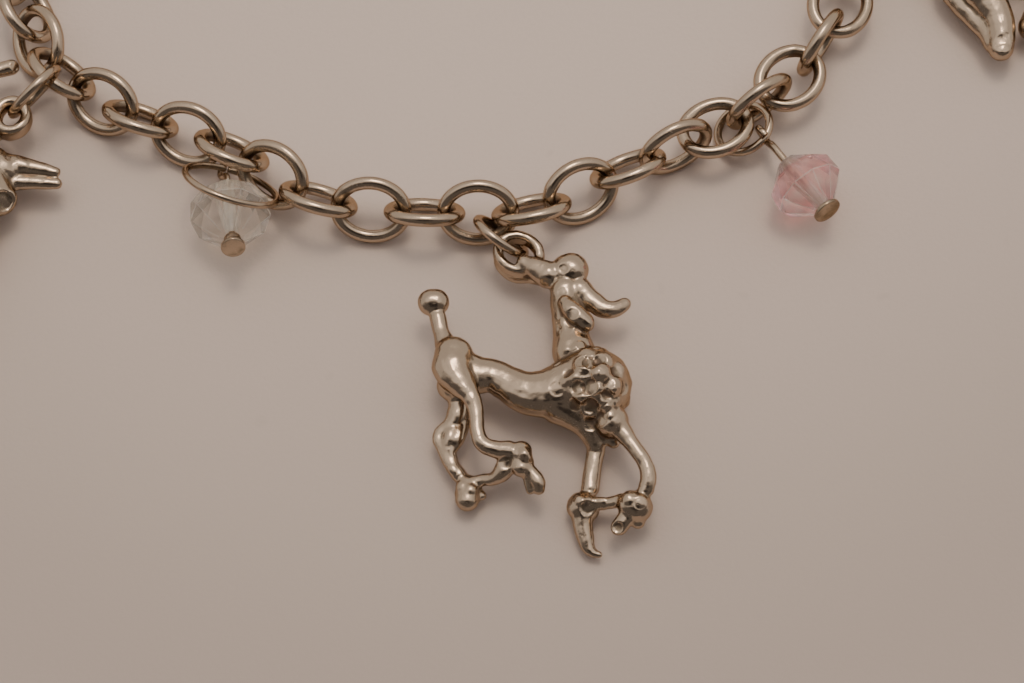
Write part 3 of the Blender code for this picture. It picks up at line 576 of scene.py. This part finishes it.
def drawn_wire(stations, steps=8, sides=5):
    """Round wire through stations of x, y, z and radius, drawn point by point, with flat ends."""
    bpy.ops.curve.primitive_bezier_curve_add(enter_editmode=True)
    bpy.ops.curve.select_all(action="SELECT")
    bpy.ops.curve.delete(type="VERT")
    for x, y, z, radius in stations:
        bpy.ops.curve.vertex_add(location=(x, y, z))
        bpy.ops.curve.radius_set(radius=radius / MM)
    bpy.ops.curve.select_all(action="SELECT")
    bpy.ops.curve.handle_type_set(type="AUTOMATIC")
    bpy.ops.object.mode_set(mode="OBJECT")
    line = bpy.context.object.data
    line.dimensions, line.bevel_depth, line.bevel_resolution, line.use_fill_caps = "3D", MM, sides, True
    line.splines[0].resolution_u = steps
    bpy.ops.object.convert(target="MESH")
    return bpy.context.object


def ball(centre, radius):
    bpy.ops.mesh.primitive_ico_sphere_add(subdivisions=4, radius=radius, location=centre)
    return bpy.context.object


def camera_rays():
    """Camera's place and its forward, right and up directions."""
    stage = bpy.context.scene.bracelet_stage
    forward = Vector((0.0, math.cos(stage.elevation), -math.sin(stage.elevation)))
    right = Vector((1.0, 0.0, 0.0))
    return Vector(stage.middle) - forward * stage.distance, forward, right, right.cross(forward)


def spots_seen(item, marks):
    """Where on a piece the picture's marks lie: point, outward normal, radius and depth of each."""
    eye, forward, right, up = camera_rays()
    stage = bpy.context.scene.bracelet_stage
    focal = stage.lens / SENSOR * FRAME_WIDTH
    found = []
    for across, down, radius, depth in marks:
        ray = forward * focal + right * (across - FRAME_WIDTH / 2.0) + up * (FRAME_HEIGHT / 2.0 - down)
        hit, point, normal = item.ray_cast(eye, ray.normalized())[:3]
        if hit:
            found.append((point.copy(), normal.copy(), radius * (point - eye).length / focal, depth * MM))
    return found


def pressed(item, spots):
    """Presses each spot in along its normal, or pulls it out, with a soft edge."""
    share = bpy.context.scene.bracelet_casting.dents
    tree = KDTree(len(item.data.vertices))
    for vertex in item.data.vertices:
        tree.insert(vertex.co, vertex.index)
    tree.balance()
    select_only(item)
    bpy.ops.object.mode_set(mode="EDIT")
    for point, normal, radius, depth in spots:
        bpy.ops.mesh.select_all(action="DESELECT")
        mesh = bmesh.from_edit_mesh(item.data)
        mesh.verts.ensure_lookup_table()
        mesh.verts[tree.find(point)[1]].select = True
        mesh.select_flush_mode()
        bmesh.update_edit_mesh(item.data)
        bpy.ops.transform.translate(value=normal * (-depth * share), use_proportional_edit=True,
                                    proportional_edit_falloff="SPHERE", proportional_size=radius)
    bpy.ops.object.mode_set(mode="OBJECT")


def mark_hollows_and_shade(item):
    """Stores how far each point lies below its surroundings, so that the patina gathers there, plus painted
    shade on the sides turned from the light.
    """
    mesh = item.data
    points = points_of(mesh)
    normals = np.empty(len(mesh.vertices) * 3)
    mesh.vertex_normals.foreach_get("vector", normals)
    normals = normals.reshape(-1, 3)
    edges = np.empty(len(mesh.edges) * 2, int)
    mesh.edges.foreach_get("vertices", edges)
    first, second = edges.reshape(-1, 2).T
    total = len(points)
    count = np.maximum(np.bincount(edges, minlength=total), 1)[:, None]
    spread = points.copy()
    sunk = np.zeros(total)
    for turn in range(max(HOLLOW_ROUNDS) + 1):
        spread = np.stack([np.bincount(first, spread[second, k], total)
                           + np.bincount(second, spread[first, k], total) for k in range(3)], 1) / count
        if turn in HOLLOW_ROUNDS:
            full = HOLLOW_DEPTH * HOLLOW_ROUNDS[turn]
            sunk = np.maximum(sunk, ((spread - points) * normals).sum(1) / full)
    # Painted shade: sides turned down and from the light get more of the dark patina
    painted_underside_shade = np.clip(-normals @ np.array([0.0, 0.45, 0.75]) - 0.1, 0.0, 1.0)
    store(item, "patina_and_shade", sunk + 0.3 * painted_underside_shade)


class BRACELET_OT_links(bpy.types.Operator):
    """Lay a round-wire link with its soldered joint in the place of each plain one"""

    bl_idname = "bracelet.links"
    bl_label = "Chain links"

    def execute(self, context):
        chain = context.scene.bracelet_chain
        half_length, half_width = (chain.length - chain.wire) / 2.0, (chain.width - chain.wire) / 2.0
        pattern = oval_wire(half_length, half_width, chain.wire, 18, 7)
        points = points_of(pattern.data)
        turn = np.arctan2(points[:, 1] / half_width, points[:, 0] / half_length)
        middle = np.stack([half_length * np.cos(turn), half_width * np.sin(turn), np.zeros(len(turn))], 1)
        out = points - middle
        # The joint: a slight swell of the wire, on the shoulder beside a bend
        joint = np.exp(-((turn - JOINT_TURN) / JOINT_SPREAD) ** 2)
        points = middle + out * (1.0 + chain.solder * joint)[:, None]
        pattern.data.vertices.foreach_set("co", points.ravel())
        # Partly real patina and partly painted shade: the inner side towards each end, where the
        # neighbouring links sit, gets the dark coat, and the soldered joint a little of it
        inner = -(out * middle).sum(1) / (np.linalg.norm(out, axis=1) * np.linalg.norm(middle, axis=1))
        end = np.abs(np.cos(turn))
        store(pattern, "patina_and_shade", np.clip(inner, 0, 1) * (0.25 + 0.75 * end ** 2) * 0.75 + joint * 0.28)
        look = silver_material("chain_silver", 1.0, 0.15)
        turns = [Matrix.Identity(4), *(Matrix.Rotation(math.pi, 4, axis) for axis in "XYZ")]
        for index, node in enumerate(LINKS):
            select_only(pattern)
            bpy.ops.object.duplicate()
            link = settled(context.object, cad_place(node) @ turns[(index * 7 + index // 3) % 4])
            finished(link, node.replace("link", "round_link"), [look], [node], 60.0)
        select_only(pattern)
        bpy.ops.object.delete()
        return {"FINISHED"}


class BRACELET_OT_rings(bpy.types.Operator):
    """Bend each jump ring from round wire, cut at one place"""

    bl_idname = "bracelet.rings"
    bl_label = "Jump rings"

    def execute(self, context):
        look = silver_material("ring_silver", 0.9, 0.1)
        for node, (diameter, wire, cut) in RINGS.items():
            place = cad_place(node)
            place = turned_to(place.col[2].to_3d(), (0.0, 0.0, 1.0), place.translation)
            radius = (diameter - wire) / 2.0 * MM
            bpy.ops.mesh.primitive_circle_add(vertices=18, radius=wire / 2.0 * MM, fill_type="NGON",
                                              location=(radius, 0.0, 0.0),
                                              rotation=(math.pi / 2.0, 0.0, 0.0), enter_editmode=True)
            bpy.ops.mesh.spin(steps=80, angle=2.0 * math.pi - RING_GAP, center=(0.0, 0.0, 0.0),
                              axis=(0.0, 0.0, 1.0))
            bpy.ops.object.mode_set(mode="OBJECT")
            ring = outward(settled(context.object))
            modified(ring, "BEVEL", width=RING_EDGE, segments=2, limit_method="ANGLE",
                     angle_limit=math.radians(60.0))
            points = points_of(ring.data)
            reach = np.linalg.norm(points[:, :2], axis=1)
            store(ring, "patina_and_shade", (radius - reach) / (wire / 2.0 * MM) * 0.45)
            settled(ring, place @ Matrix.Rotation(math.radians(cut), 4, "Z"))
            finished(ring, node.replace("ring", "jump_ring"), [look], [node], 50.0)
        return {"FINISHED"}


class BRACELET_OT_clasp(bpy.types.Operator):
    """Round off the plain clasp bar and its two eyes"""

    bl_idname = "bracelet.clasp"
    bl_label = "Clasp"

    def execute(self, context):
        chain = context.scene.bracelet_chain
        low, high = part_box("clasp")
        height = high.z - low.z
        # The eyes are wide enough for a link's wire, and the bar reaches a little into each
        radius = 0.8 * chain.wire + CLASP_WIRE / 2.0
        body = CLASP_LENGTH - 4.0 * radius - 0.3 * CLASP_WIRE
        bpy.ops.mesh.primitive_cube_add(size=1.0)
        bpy.ops.transform.resize(value=(body, height, height))
        bar = settled(context.object)
        modified(bar, "BEVEL", width=height * CLASP_ROUNDING, segments=6, limit_method="NONE")
        for end in (-1.0, 1.0):
            eye = oval_wire(radius, radius, CLASP_WIRE, 14, 6)
            reach = CLASP_LENGTH / 2.0 - CLASP_WIRE / 2.0 - radius
            settled(eye, Matrix.Translation((end * reach, 0.0, 0.0)))
            modified(bar, "BOOLEAN", object=eye, operation="UNION", solver="EXACT")
            select_only(eye)
            bpy.ops.object.delete()
        place = cad_place("clasp")
        place = turned_to((0.0, 0.0, 1.0), place.col[0].to_3d(), (low + high) / 2.0)
        store(bar, "patina_and_shade", np.zeros(len(bar.data.vertices)))
        look = silver_material("clasp_silver", 1.2, 0.1)
        finished(settled(bar, place), "clasp_bar", [look], ["clasp"], 50.0)
        return {"FINISHED"}


def curls_of(centre, radius, count, size):
    """Small balls spread over a ball, like tight curls: x, y, z and radius of each."""
    golden = math.pi * (3.0 - math.sqrt(5.0))
    for index in range(count):
        height = 1.0 - 1.55 * (index + 0.5) / count
        around, reach = index * golden, math.sqrt(1.0 - height * height)
        swell = size * (1.0 + 0.10 * math.sin(index * 2.7) + 0.05 * math.cos(index * 5.1))
        yield (centre[0] + radius * reach * math.cos(around),
               centre[1] + radius * reach * math.sin(around), centre[2] + radius * height, swell)


def cast_animal(name, marks, look, curls=()):
    """Limbs, curls and eye fused in one skin, with soft joins, an uneven surface and pressed marks."""
    limbs, size, ring, offset, (height, long, wide, wire), turn, flat = ANIMALS[name]
    casting = bpy.context.scene.bracelet_casting
    unit = size / 100.0 * MM
    parts = []
    for rows in limbs.values():
        stations = [(x * unit, y * unit, (z - height) * unit / flat, r * unit) for x, y, z, r in rows]
        parts.append(drawn_wire(stations))
        parts += [ball(station[:3], station[3]) for station in (stations[0], stations[-1])]
    for x, y, z, r in curls:
        parts.append(ball((x * unit, y * unit, (z - height) * unit / flat), r * unit))
    for depth in (0.0, 0.35, 0.7):
        eye = oval_wire(long * unit, wide * unit, wire * unit, 12, 5)
        parts.append(settled(eye, Matrix.Translation((0.0, 0.0, -depth * wire * unit / flat))
                             @ Matrix.Rotation(math.radians(turn), 4, "Z")
                             @ Matrix.Scale(1.0 / flat, 4, (0, 0, 1))))
    animal = joined(parts)
    centre = cad_place(ring).translation + Vector(offset) * MM
    settled(animal)
    settled(animal, Matrix.Translation(centre) @ Matrix.Scale(flat, 4, (0, 0, 1)))
    modified(animal, "REMESH", mode="VOXEL", voxel_size=casting.grain)
    modified(animal, "SMOOTH", factor=0.5, iterations=casting.softness)
    pressed(animal, spots_seen(animal, marks))
    for scale, strength in SKIN:
        skin = bpy.data.textures.new(name + "_skin", "CLOUDS")
        skin.noise_scale, skin.noise_depth = scale * MM, 1
        modified(animal, "DISPLACE", texture=skin, strength=strength * MM, texture_coords="LOCAL")
    mark_hollows_and_shade(animal)
    finished(animal, name + "_casting", [look], [name + "_charm"], 180.0)


class BRACELET_OT_poodle(bpy.types.Operator):
    """Cast the poodle charm: poms, pitted mane, thin legs and oval eye"""

    bl_idname = "bracelet.poodle"
    bl_label = "Poodle charm"

    def execute(self, context):
        curls = [*curls_of((20.9, -43.3, 12.0), 8.1, 30, 3.25), *curls_of((0.7, -65.8, 11.6), 1.6, 6, 2.1),
                 *curls_of((-14.6, -73.2, 4.8), 1.8, 6, 2.2), *curls_of((18.0, -77.7, 4.9), 2.1, 7, 2.6),
                 *curls_of((32.3, -79.2, 9.1), 2.2, 7, 2.7)]
        cast_animal("poodle", POODLE_MARKS, silver_material("cast_silver", 0.8, 0.5, 1.1), curls)
        return {"FINISHED"}


class BRACELET_OT_cut_animals(bpy.types.Operator):
    """Cast the two animals at the picture's edges"""

    bl_idname = "bracelet.cut_animals"
    bl_label = "Side animals"

    def execute(self, context):
        for side in ("left", "right"):
            look = silver_material(side + "_cast_silver", 0.8, 0.5, 1.1)
            cast_animal(side + "_animal", SIDE_MARKS, look)
        return {"FINISHED"}


def drop_place(name):
    """A bead's placing: origin in its middle, Z from the eye to the head, X across the eye."""
    direction, turn = DROPS[name][12:]
    axis = Vector(direction).normalized()
    across = Matrix.Rotation(math.radians(turn), 3, axis) @ (FACING - axis * FACING.dot(axis))
    return turned_to(axis, across, cad_points(name + "_bead").mean(0))


class BRACELET_OT_beads(bpy.types.Operator):
    """Cut the two crystal beads: long facets, a zigzag girdle and a drilled hole"""

    bl_idname = "bracelet.beads"
    bl_label = "Crystal beads"

    def bridge(self, bead, reach):
        """Joins the two loops of points that lie this far from the axis."""
        bpy.ops.mesh.select_all(action="DESELECT")
        mesh = bmesh.from_edit_mesh(bead.data)
        for vertex in mesh.verts:
            vertex.select = abs(vertex.co.to_2d().length - reach) < 1e-6
        mesh.select_flush_mode()
        bmesh.update_edit_mesh(bead.data)
        bpy.ops.mesh.bridge_edge_loops()

    def cut_bead(self, row, sides, edge):
        """Both halves are drawn out from the flat ends and joined at the girdle."""
        size, length, hole, flat, girdle = row[0] * MM, *row[1:5]
        halves = []
        for side in (-1.0, 1.0):
            bpy.ops.mesh.primitive_circle_add(vertices=sides, radius=0.5 * size,
                                              location=(0.0, 0.0, side * girdle * size),
                                              rotation=(0.0, 0.0, math.pi / sides if side > 0 else 0.0),
                                              enter_editmode=True)
            tall = (length / 2.0 - girdle) * size * side
            bpy.ops.mesh.extrude_edges_move(TRANSFORM_OT_translate={"value": (0.0, 0.0, tall)})
            bpy.ops.transform.resize(value=(flat / 0.5, flat / 0.5, 1.0))
            bpy.ops.mesh.extrude_edges_move(TRANSFORM_OT_translate={"value": (0.0, 0.0, 0.0)})
            bpy.ops.transform.resize(value=(hole / 2.0 / flat, hole / 2.0 / flat, 1.0))
            bpy.ops.object.mode_set(mode="OBJECT")
            halves.append(settled(bpy.context.object))
        bead = joined(halves)
        bpy.ops.object.mode_set(mode="EDIT")
        self.bridge(bead, 0.5 * size)
        bpy.ops.mesh.quads_convert_to_tris(quad_method="SHORTEST_DIAGONAL")
        self.bridge(bead, hole / 2.0 * size)
        bpy.ops.object.mode_set(mode="OBJECT")
        outward(bead)
        modified(bead, "BEVEL", width=edge, segments=1, limit_method="ANGLE",
                 angle_limit=math.radians(8.0))
        points = points_of(bead.data)
        reach = np.linalg.norm(points[:, :2], axis=1) / size
        # Share of the painted rim colour, from the flat ends out to the girdle
        store(bead, "rim", (reach - 0.30) / 0.20)
        return bead, hole / 2.0 * size

    def execute(self, context):
        beads = context.scene.bracelet_beads
        # Body and rim colours, and alpha; the rim colour is painted refraction
        crystals = {"clear": (tuple(beads.clear), (0.98, 0.94, 0.82), 0.70),
                    "pink": (tuple(beads.pink), tuple(beads.rim), 0.82)}
        looks = {name: crystal_material(name + "_crystal", *crystals[name]) for name in crystals}
        for name, row in DROPS.items():
            bead, hole = self.cut_bead(row, beads.sides, beads.edge)
            look, body = looks[name], crystals[name][0]
            walls = [face.index for face in bead.data.polygons
                     if abs(face.normal.z) < 0.2 and face.center.to_2d().length < hole * 1.2]
            # Painted highlight: the long narrow edge faces on the head's half get whitish, scattering
            # crystal
            narrow = []
            corners = bead.data.vertices
            for face in bead.data.polygons:
                sizes = [(corners[a].co - corners[b].co).length for a, b in face.edge_keys]
                long_edge = min(sizes) < beads.edge * 3.0 and max(sizes) > HIGHLIT_EDGE_LENGTH
                if long_edge and face.center.z > HIGHLIT_EDGE_HEIGHT:
                    narrow.append(face.index)
            settled(bead, drop_place(name))
            finished(bead, name + "_crystal_bead", [look, drilled_material(name + "_drilled", body),
                                                    drilled_material(name + "_painted_edge_highlights", body, 0.55)],
                     [name + "_bead"], 1.0)
            for index in walls:
                bead.data.polygons[index].material_index = 1
            for index in narrow:
                bead.data.polygons[index].material_index = 2
        return {"FINISHED"}


class BRACELET_OT_headpins(bpy.types.Operator):
    """Thread each bead on a headpin whose end is bent into an eye"""

    bl_idname = "bracelet.headpins"
    bl_label = "Headpins"

    def execute(self, context):
        look = silver_material("pin_silver", 1.0, 0.2)
        for name, row in DROPS.items():
            size = row[0] * MM
            length, wire, head, thickness, collar, collar_length, reach, eye = (
                row[k] * size for k in (1, *range(5, 12)))
            past, radius = length / 2.0 + 0.03 * size, (eye - wire) / 2.0
            start = -reach + radius
            stations = [(0.0, 0.0, height) for height in (past + collar_length, length / 4.0, 0.0,
                                                          -length / 2.0, start + 0.35 * wire)]
            for step in range(11):
                angle = math.radians(12.0 + 28.5 * step)
                stations.append((0.0, radius * math.sin(angle), start - radius * (1.0 - math.cos(angle))))
            parts = [drawn_wire([(*station, wire / 2.0) for station in stations], 6, 6)]
            discs = [(past + collar_length + thickness / 2.0, thickness, head / 2.0)]
            if collar_length:
                discs.append((past + collar_length / 2.0, collar_length, collar / 2.0))
            for height, tall, wide in discs:
                bpy.ops.mesh.primitive_cylinder_add(vertices=48, radius=wide, depth=tall,
                                                    location=(0.0, 0.0, height))
                disc = settled(context.object)
                modified(disc, "BEVEL", width=min(tall, wide) * 0.22, segments=3, limit_method="ANGLE",
                         angle_limit=math.radians(40.0))
                parts.append(disc)
            pin = joined(parts)
            points = points_of(pin.data)
            # Painted shade on the head and collar past the bead; the lower loop of the eye is darkened a
            # little as well
            patina_and_shade_amount = PIN_PAINTED_SHADE[name] * (points[:, 2] > length / 2.0) + 0.25 * (points[:, 2] < start)
            store(pin, "patina_and_shade", patina_and_shade_amount)
            settled(pin, drop_place(name))
            finished(pin, name + "_pin", [look], [name + "_headpin"], 40.0)
        return {"FINISHED"}


class BRACELET_OT_stage(bpy.types.Operator):
    """Lay the pale surface, hang the soft light and set up the camera"""

    bl_idname = "bracelet.stage"
    bl_label = "Stage"

    def execute(self, context):
        stage = context.scene.bracelet_stage
        bpy.ops.mesh.primitive_plane_add(size=1.6, location=(0.0, 0.0, 0.0))
        table = context.object
        table.name = "surface"
        table.data.materials.append(surface_material("pale_surface", tuple(stage.surface)))

        world = bpy.data.worlds.new("soft_light")
        context.scene.world = world
        world.use_nodes = True
        shades = Shades(world.node_tree)
        way = shades.add("ShaderNodeTexCoord", {}, {}, 0)
        x, y, z = (shades.add("ShaderNodeSeparateXYZ", {}, {0: way}, k) for k in range(3))
        behind = y.between(-0.38, -0.10)
        overhead = z.between(0.55, 1.0)
        spot = (x * BRIGHTEST.x + y * BRIGHTEST.y + z * BRIGHTEST.z).between(0.984, 0.994)
        viewer = (y * FACING.y + z * FACING.z).between(0.91, 0.985)
        light = 0.055 + behind * 0.18 + overhead * behind * 0.14 + spot * 2.8
        light = light * (1.0 - viewer * 0.70) * stage.glow
        colour = shades.mix((1.0, 0.87, 0.81), (1.0, 0.895, 0.82), light.between(0.0, 0.6))
        colour = shades.mix(colour, (1.0, 0.77, 0.58), spot)
        background = shades.add("ShaderNodeBackground", {}, {"Color": colour, "Strength": light})
        shades.add("ShaderNodeOutputWorld", {}, {"Surface": background})

        lamp = bpy.data.lights.new("soft_lamp", "AREA")
        lamp.shape, lamp.size = "DISK", 0.42
        lamp.energy, lamp.color = stage.lamp, (1.0, 0.84, 0.70)
        hung = bpy.data.objects.new("soft_lamp", lamp)
        context.collection.objects.link(hung)
        hung.location = (0.04, 0.22, 0.66)
        hung.rotation_euler = (Vector(stage.middle) - hung.location).to_track_quat("-Z", "Y").to_euler()

        eye, forward = camera_rays()[:2]
        camera = bpy.data.cameras.new("camera")
        camera.sensor_width, camera.lens, camera.clip_start, camera.clip_end = SENSOR, stage.lens, 0.01, 10.0
        held = bpy.data.objects.new("camera", camera)
        context.collection.objects.link(held)
        held.location = eye
        held.rotation_euler = forward.to_track_quat("-Z", "Y").to_euler()
        context.scene.camera = held
        return {"FINISHED"}


class BRACELET_PT_pieces(bpy.types.Panel):
    """Sizes, colours and pieces of the bracelet"""

    bl_idname = "BRACELET_PT_pieces"
    bl_label = "Charm bracelet"
    bl_space_type = "VIEW_3D"
    bl_region_type = "UI"
    bl_category = "Bracelet"

    def draw(self, context):
        for group in ("bracelet_chain", "bracelet_casting", "bracelet_beads", "bracelet_stage"):
            settings = getattr(context.scene, group)
            box = self.layout.box()
            for name in settings.__annotations__:
                box.prop(settings, name)
        for piece in PIECES:
            self.layout.operator(piece.bl_idname)


GROUPS = {
    "bracelet_chain": ChainSettings,
    "bracelet_casting": CastingSettings,
    "bracelet_beads": BeadSettings,
    "bracelet_stage": StageSettings,
}
PIECES = (BRACELET_OT_links, BRACELET_OT_rings, BRACELET_OT_clasp, BRACELET_OT_poodle,
          BRACELET_OT_cut_animals, BRACELET_OT_beads, BRACELET_OT_headpins, BRACELET_OT_stage)


def register():
    for name, group in GROUPS.items():
        bpy.utils.register_class(group)
        setattr(bpy.types.Scene, name, bpy.props.PointerProperty(type=group))
    for piece in (*PIECES, BRACELET_PT_pieces):
        bpy.utils.register_class(piece)


def unregister():
    for piece in (BRACELET_PT_pieces, *reversed(PIECES)):
        bpy.utils.unregister_class(piece)
    for name, group in reversed(GROUPS.items()):
        delattr(bpy.types.Scene, name)
        bpy.utils.unregister_class(group)


def main():
    register()
    bpy.ops.bracelet.links()
    bpy.ops.bracelet.rings()
    bpy.ops.bracelet.clasp()
    bpy.ops.bracelet.poodle()
    bpy.ops.bracelet.cut_animals()
    bpy.ops.bracelet.beads()
    bpy.ops.bracelet.headpins()
    bpy.ops.bracelet.stage()


if __name__ == "__main__":
    main()
